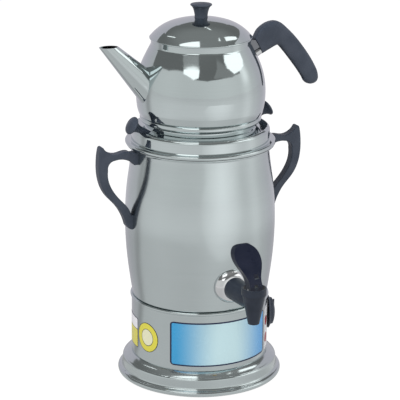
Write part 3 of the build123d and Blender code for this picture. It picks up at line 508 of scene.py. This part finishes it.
# %% [markdown]
# ## Steel
#
# All the steel is one sheet metal, polished more or less. The barrel is rolled, welded and
# buffed, so its mirror is a little blurred and waves slowly. The teapot, the lids and the foot
# are spun and come out crisper. One paint with three numbers covers them: how rough the mirror
# is, how deep its waves are and how long.


# %% Polished steel
def steel(base_roughness, waves, wave_size):
    """Paint of polished steel: polishing rings, slow waves, smears that change its roughness."""

    def paint(place):
        rings = place.rings(1.2)
        smears = place.noise(55, 4.0)
        slow = place.noise(wave_size, 1.0)
        tone = (smears * 0.5 + rings * 0.5).rise(0.25, 0.75)
        return {
            "Base_Color": tone.between((0.545, 0.605, 0.61), (0.575, 0.632, 0.642)),
            "Roughness": smears * (base_roughness * 0.5) + rings * (base_roughness * 0.25)
            + base_roughness * 0.62,
            "Normal": relief(slow * waves + rings * 0.002, 1.0),
        }

    return paint


tank_steel = finish("barrel_steel", steel(0.17, 0.55, 45), Metallic=1.0)
spun_steel = finish("spun_steel", steel(0.07, 0.10, 30), Metallic=1.0)
base_steel = finish("base_steel", steel(0.11, 0.12, 40), Metallic=1.0)

# %% [markdown]
# ## Other metals
#
# The tap's rosette and the ferrule of the teapot's handle are chromed, almost a perfect mirror,
# and the handle sits in a darker cast bracket. Screws and nuts are turned steel with a dull skin.
# The tap's shank, the element's nuts and the thermostat's spindle are brass that has begun to
# tarnish. One metal with a slider would do from afar, but what ages them differs: specks, mould
# skin, stains, heat and tarnish. So each is a small paint of its own.


# %% Chrome
def chrome_paint(place):
    """Pale, with tiny specks, and the waves of the metal under it."""
    specks = place.noise(0.7, 1.0)
    return {
        "Base_Color": specks.between((0.66, 0.67, 0.68), (0.72, 0.73, 0.74)),
        "Roughness": specks * 0.03 + 0.03,
        "Normal": relief(place.noise(9, 1.0), 0.03),
    }


chrome = finish("bright_chrome", chrome_paint, Metallic=1.0)


# %% Cast bracket
def cast_paint(place):
    """Die-cast: darker than the sheet, with the skin of its mould."""
    skin = place.noise(1.4, 3.0)
    return {
        "Base_Color": skin.between((0.20, 0.21, 0.23), (0.27, 0.28, 0.30)),
        "Roughness": skin * 0.15 + 0.28,
        "Normal": relief(skin, 0.04),
    }


cast = finish("cast_bracket", cast_paint, Metallic=1.0)


# %% Screws, nuts and springs
def fastener_paint(place):
    """Turned steel: fine tool marks, and stains from the wash that follows the lathe."""
    marks = place.noise(0.9, 3.0)
    stains = place.noise(6, 3.0)
    return {
        "Base_Color": stains.between((0.42, 0.41, 0.40), (0.60, 0.60, 0.61)),
        "Roughness": marks * 0.2 + 0.22,
        "Normal": relief(marks, 0.02),
    }


fastener = finish("screw_steel", fastener_paint, Metallic=1.0)


# %% Heating element
def element_paint(place):
    """Sheathed heater: heat turns it straw and then blue-grey, most along its hot loop."""
    heat = place.z.rise(134, 150) * 0.7 + place.noise(14, 3.0) * 0.3
    scale = place.noise(3, 4.0).rise(0.52, 0.72)
    tube = heat.between((0.52, 0.50, 0.47), (0.30, 0.25, 0.22))
    return {
        "Base_Color": (scale * 0.5).between(tube, (0.62, 0.59, 0.53)),
        "Roughness": scale * 0.35 + 0.3,
        "Metallic": 1 - scale * 0.6,
        "Normal": relief(scale, 0.15),
    }


element = finish("heater_sheath", element_paint)


# %% Brass
def brass_paint(place):
    """Turned brass, tarnished in patches."""
    tarnish = place.noise(5, 4.0).rise(0.35, 0.75)
    return {
        "Base_Color": tarnish.between((0.66, 0.50, 0.24), (0.40, 0.28, 0.13)),
        "Roughness": tarnish * 0.25 + 0.22,
        "Normal": relief(place.noise(0.8, 2.0), 0.02),
    }


brass = finish("turned_brass", brass_paint, Metallic=1.0)

# %% [markdown]
# ## Plastics and rubber
#
# The handles and the tap are moulded in a blue-black thermoset. It takes a fine grain from the
# mould, a soft sheen, and it shines a little more where hands polish it. A picture of plastic
# would repeat itself over the grips. Three noises, of clouds, of pits and of polish, never do, and
# the same paint with other numbers makes the pale plastics inside the base, silicone and rubber.


# %% Moulded pieces
def moulded(dark, light, grain, roughness, depth):
    """Paint of a moulded piece: two close tones in slow clouds, and a fine grain."""

    def paint(place):
        clouds = place.noise(24, 3.0)
        pits = place.noise(grain, 2.0)
        rubbed = place.noise(16, 2.0).rise(0.45, 0.7)
        return {
            "Base_Color": clouds.rise(0.3, 0.7).between(dark, light),
            "Roughness": roughness + pits * 0.1 - rubbed * 0.08,
            "Normal": relief(pits, depth),
        }

    return paint


grip_tones = (0.032, 0.042, 0.062), (0.046, 0.057, 0.080)
tap_tones = (0.013, 0.019, 0.032), (0.020, 0.027, 0.043)
lever_tones = (0.006, 0.009, 0.022), (0.011, 0.014, 0.030)
grip_black = finish("grip_plastic", moulded(*grip_tones, 0.6, 0.40, 0.03), Specular_IOR_Level=0.4)
tap_black = finish("tap_plastic", moulded(*tap_tones, 0.5, 0.32, 0.02), Specular_IOR_Level=0.32)
lever_black = finish("lever_plastic", moulded(*lever_tones, 0.5, 0.30, 0.02), Specular_IOR_Level=0.3)

# %% Pale plastic, rubber and silicone
pale_tones = (0.60, 0.58, 0.52), (0.70, 0.68, 0.62)
rubber_tones = (0.016, 0.016, 0.018), (0.030, 0.030, 0.032)
silicone_tones = (0.66, 0.64, 0.60), (0.76, 0.74, 0.70)
pale_plastic = finish("pale_plastic", moulded(*pale_tones, 0.7, 0.42, 0.03))
rubber = finish("foot_rubber", moulded(*rubber_tones, 0.8, 0.68, 0.06))
silicone = finish("silicone", moulded(*silicone_tones, 1.5, 0.45, 0.02))

# %% [markdown]
# ## Labels
#
# The four labels are printed film. A picture file would tie them to a resolution, so each is
# drawn with sums in its own flat plane, with u along the housing and z up, in millimetres. There
# a rounded frame is the usual distance to a rounded rectangle. They carry no words: plain colour
# fields, a frame and two round lights.

# %% Drawing on the housing
HOUSING = 106.2  # radius of the printed face


def along(place, middle):
    """Millimetres along the housing from a bearing in degrees, growing to the right."""
    turn = place.bearing() - middle
    turn = turn - turn.rise(*SEAM) * 360 + turn.rise(-SEAM[0], -SEAM[1]) * 360
    return turn * (math.pi / 180 * HOUSING)


def frame_distance(u, v, half_u, half_v, corner):
    """Distance to a rounded rectangle: below 0 inside it, above 0 outside."""
    across, up = abs(u) - (half_u - corner), abs(v) - (half_v - corner)
    outside = (across.most(0) ** 2 + up.most(0) ** 2) ** 0.5
    return outside + across.most(up).least(0) - corner


def disc(u, v, radius):
    """1 inside a disc, 0 outside it, with a crisp edge."""
    return ((u * u + v * v) ** 0.5).rise(radius + 0.2, radius - 0.2)


def film(place, picture):
    """A print under clear film, with a few slow ripples where it was smoothed down."""
    ripples = place.noise(18, 2.0)
    return {
        "Base_Color": picture,
        "Roughness": ripples * 0.12 + 0.2,
        "Normal": relief(ripples, 0.06),
    }


label_finishes = {}
print("one degree of the housing is", round(math.radians(HOUSING), 2), "mm")


# %% Front label
def front_paint(place):
    """Sky blue at both ends and pale in the middle, inside a navy frame."""
    u, v = along(place, -3.0), place.z - 78.7
    left, right = u.rise(-8, -82), u.rise(14, 84)
    field = left.between((0.50, 0.69, 0.73), (0.010, 0.29, 0.58))
    field = right.between(field, (0.075, 0.33, 0.68))
    field = (place.noise(1.1, 1.0) * 0.10).between(field, (0.75, 0.85, 0.9))
    navy = frame_distance(u, v, 86.2, 35.3, 5.0).rise(-2.5, -2.1)
    return film(place, navy.between(field, (0.012, 0.02, 0.06)))


label_finishes["front_label"] = finish("front_print", front_paint, Specular_IOR_Level=0.3)


# %% Control label
def control_paint(place):
    """White, with two dark red lights and a thin grey frame."""
    u, v = along(place, 72.0), place.z - 78.7
    clouds = place.noise(9, 2.0)
    field = clouds.between((0.74, 0.75, 0.78), (0.80, 0.80, 0.82))
    lights = disc(u + 37, place.z - 90, 8.0).most(disc(u + 37, place.z - 62, 8.0))
    edge = abs(frame_distance(u, v, 44.0, 33.2, 4.0)).rise(0.7, 0.4)
    field = edge.between(field, (0.25, 0.25, 0.3))
    return film(place, lights.between(field, (0.30, 0.012, 0.02)))


label_finishes["control_label"] = finish("control_print", control_paint, Specular_IOR_Level=0.3)


# %% Round sticker
def round_paint(place):
    """A yellow ring with a pale middle, each edged by a thin dark line."""
    u, v = along(place, -74.0), place.z - 77.0
    far = (u * u + v * v) ** 0.5
    field = far.rise(13.4, 13.8).between((0.72, 0.71, 0.50), (0.66, 0.60, 0.035))
    field = (place.noise(2.0, 2.0) * 0.15).between(field, (0.9, 0.86, 0.5))
    lines = abs(far - 13.2).rise(0.7, 0.3).most(far.rise(22.2, 22.6))
    return film(place, lines.between(field, (0.05, 0.05, 0.03)))


label_finishes["round_sticker"] = finish("round_print", round_paint, Specular_IOR_Level=0.3)


# %% Side sticker
def side_paint(place):
    """White over yellow, with a thin dark frame and a line between the two fields."""
    u, v = along(place, -100.4), place.z - 75.7
    field = v.rise(5.8, 6.2).between((0.66, 0.60, 0.06), (0.78, 0.78, 0.82))
    field = (place.noise(2.0, 2.0) * 0.12).between(field, (0.85, 0.84, 0.7))
    edge = frame_distance(u, v, 22.4, 24.2, 3.0).rise(-1.3, -1.0)
    lines = edge.most(abs(v - 6.0).rise(0.7, 0.4))
    return film(place, lines.between(field, (0.06, 0.06, 0.10)))


label_finishes["side_sticker"] = finish("side_print", side_paint, Specular_IOR_Level=0.3)

# %% [markdown]
# ## Giving out the finishes
#
# The record says which material each piece is made of. The finish follows from that, and the
# pieces whose work differs, such as the rolled barrel and the spun teapot, are named one by one.
# Done by hand in the Material tab, fifty-four pieces would be fifty-four chances to slip.

# %% One finish for each piece
by_slot = {
    "polished_steel": spun_steel,
    "chrome_plate": chrome,
    "fastener_steel": fastener,
    "element_steel": element,
    "brass": brass,
    "dark_plastic": tap_black,
    "pale_plastic": pale_plastic,
    "rubber": rubber,
    "silicone": silicone,
}
by_node = dict(label_finishes, tank=tank_steel, base_housing=base_steel, foot_ring=base_steel)
grips = ("handle_left", "handle_right", "teapot_handle", "teapot_lid_knob")
knobs = ("lid_knob_left", "lid_knob_right", "thermostat_knob")
by_node.update(dict.fromkeys(grips + knobs, grip_black), handle_bracket=cast)
by_node["tap_lever"] = lever_black
slots = {part["node"]: part["material_slot"] for part in frame["record"]["subparts"]}
for name, piece in frame["nodes"].items():
    for slot in piece.material_slots:
        slot.material = by_node.get(name) or by_slot[slots[name]]
print("finished", len(frame["nodes"]), "pieces")

# %% [markdown]
# ## A clean barrel
#
# The tap stands so close to the barrel that its mirror image would be a long dark smear beside
# it. A retoucher would paint that out. Here the tap's pieces are left out of what mirror rays
# see, and stay as they are for the camera and for shadows.

# %% Pieces that the steel doesn't mirror
for name in ("tap_lever", "lever_pin", "tap_body", "tap_bonnet", "valve_stem", "seat_cup"):
    frame["nodes"][name].visible_glossy = False
print("not mirrored:", sum(not piece.visible_glossy for piece in frame["nodes"].values()), "pieces")

# %% [markdown]
# ## The teapot's handle
#
# The solid handle has the right size, joint and fixing, but a moulded grip is softer: its roof is
# humped, its flanks swell, and a channel for the fingers runs along its inside. A subdivided box
# could be pulled into that shape by hand. A band of sections does it with numbers that can be
# read: each section spans from a point of the outer line to a point of the inner line.

# %% Sections of the grip
# Outer and inner line in the grip's own plane (right, up), then half the width, in millimetres.
GRIP_SECTIONS = np.array([
    [88.3, 524.5, 101.8, 499.7, 8.5],
    [96.5, 537.6, 112.5, 505.0, 9.5],
    [112.5, 546.8, 123.0, 509.8, 10.0],
    [129.0, 547.0, 128.5, 510.4, 10.0],
    [146.0, 534.0, 133.5, 506.3, 9.6],
    [164.0, 515.3, 145.5, 491.5, 9.2],
    [183.5, 489.8, 161.0, 471.5, 9.0],
    [196.3, 468.0, 171.0, 457.5, 9.0],
    [199.7, 455.8, 175.4, 450.0, 8.8],
    [198.8, 449.4, 179.8, 445.8, 7.2],
    [195.4, 445.6, 185.2, 443.9, 4.4],
    [190.6, 443.6, 189.4, 443.4, 0.6],
])
print("grip reaches", GRIP_SECTIONS[:, 0].max(), "mm to the right")


# %% A smooth run of sections
def through(points, steps):
    """Catmull-Rom curve: each stretch is the cubic that passes its two ends with the slope from
    the neighbour before to the neighbour after."""
    padded = np.vstack([2 * points[0] - points[1], points, 2 * points[-1] - points[-2]])
    t = np.linspace(0, 1, steps, endpoint=False)[:, None, None]
    a, b, c, d = (padded[i : i + len(points) - 1][None] for i in range(4))
    curve = b + t * (c - a) / 2 + t**2 * (a - 2.5 * b + 2 * c - d / 2)
    curve = curve + t**3 * (1.5 * b - a / 2 - 1.5 * c + d / 2)
    return np.vstack([curve.transpose(1, 0, 2).reshape(-1, points.shape[1]), points[-1]])


sections = through(GRIP_SECTIONS, 12)
outer, inner, half_width = sections[:, None, :2], sections[:, None, 2:4], sections[:, None, 4]
run = np.linspace(0, 1, len(sections))[:, None]
print("sections", len(sections))

# %% [markdown]
# ## Outline of a section
#
# A section's outline is a superellipse, a circle pushed toward a rounded rectangle: the cosine and
# the sine of the angle are raised to a power below 1. The smaller the power, the crisper the
# corners, and they are crisp at the pot and melt away along the grip.

# %% Across and aside
angle = np.linspace(0, 2 * np.pi, 96, endpoint=False)[None]
power = np.interp(run, [0.15, 0.50], [0.42, 0.72])
across = np.sign(np.cos(angle)) * np.abs(np.cos(angle)) ** power
side = np.sign(np.sin(angle)) * np.abs(np.sin(angle)) ** power
INNER_TAPER = 0.16  # the inside is that much narrower than the roof
aside = half_width * side * (1 - INNER_TAPER * (1 - across) / 2)
print("half width", aside.min().round(2), "to", aside.max().round(2), "mm")

# %% [markdown]
# ## The finger channel
#
# A channel about 7 mm wide and 7 mm deep runs along the inside of the grip and fades at both
# ends. A boolean cut would leave sharp edges there. Instead the points that lie on the inside and
# near the middle are moved outward, by a mask that ramps up and down along the run and across it.

# %% Channel, and rings in space
CHANNEL_DEPTH = 7
length = np.interp(run, [0.30, 0.35, 0.66, 0.70], [0, 1, 1, 0])
channel = length * np.interp(np.abs(aside), [3.0, 4.2], [1, 0]) * (across < 0)
reach = np.linalg.norm(outer - inner, axis=2)
share = (1 + across) / 2 + channel * CHANNEL_DEPTH / np.maximum(reach, 1)
flat = inner + (outer - inner) * share[..., None]
rings = np.stack([flat[..., 0], aside, flat[..., 1]], axis=-1) / 1000
print("rings", rings.shape)


# %% Handle surface
def closed_tube(name, rings):
    """Mesh of a tube: rings is sections x points x 3 in metres. Four neighbours in that grid make
    a face, and at both ends a fan of triangles meets the ring's middle."""
    count, around = rings.shape[:2]
    grid = np.arange(count * around).reshape(count, around)
    after = np.roll(grid, -1, axis=1)
    quads = np.stack([grid[:-1], grid[1:], after[1:], after[:-1]], axis=-1).reshape(-1, 4)
    points = np.vstack([rings.reshape(-1, 3), rings[0].mean(0), rings[-1].mean(0)])
    first, last = (np.full(around, count * around + end) for end in (0, 1))
    fans = np.vstack([
        np.stack([first, grid[0], after[0]], axis=-1),
        np.stack([last, after[-1], grid[-1]], axis=-1),
    ])
    mesh = bpy.data.meshes.new(name)
    mesh.from_pydata(points.tolist(), [], quads.tolist() + fans.tolist())
    mesh.polygons.foreach_set("use_smooth", np.ones(len(mesh.polygons), dtype=bool))
    made = bpy.data.objects.new(name, mesh)
    bpy.context.collection.objects.link(made)
    return made


grip = closed_tube("teapot_grip", rings)
grip.data.materials.append(grip_black)
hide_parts("teapot_handle")
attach(grip, "teapot")
print("grip faces", len(grip.data.polygons), "size", tuple(grip.dimensions))

# %% [markdown]
# ## The valve's spring
#
# When the lever is pulled, the valve rises by 4.2 mm against its spring. The spring's top stands
# against the bonnet and only its lower end moves. A shape key could shorten it, and so could a
# squash, which needs only a direction and a fixed point. Here a copy of the spring rides on the
# samovar instead of rising whole with the valve and passing through it, and it is not shortened.

# %% A copy of the spring that stays with the samovar
spring = frame["nodes"]["valve_spring"]
squeezed = bpy.data.objects.new("squeezed_spring", spring.data.copy())
bpy.context.collection.objects.link(squeezed)
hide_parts("valve_spring")
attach(squeezed, "samovar")
squeezed.visible_glossy = False
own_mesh(squeezed)
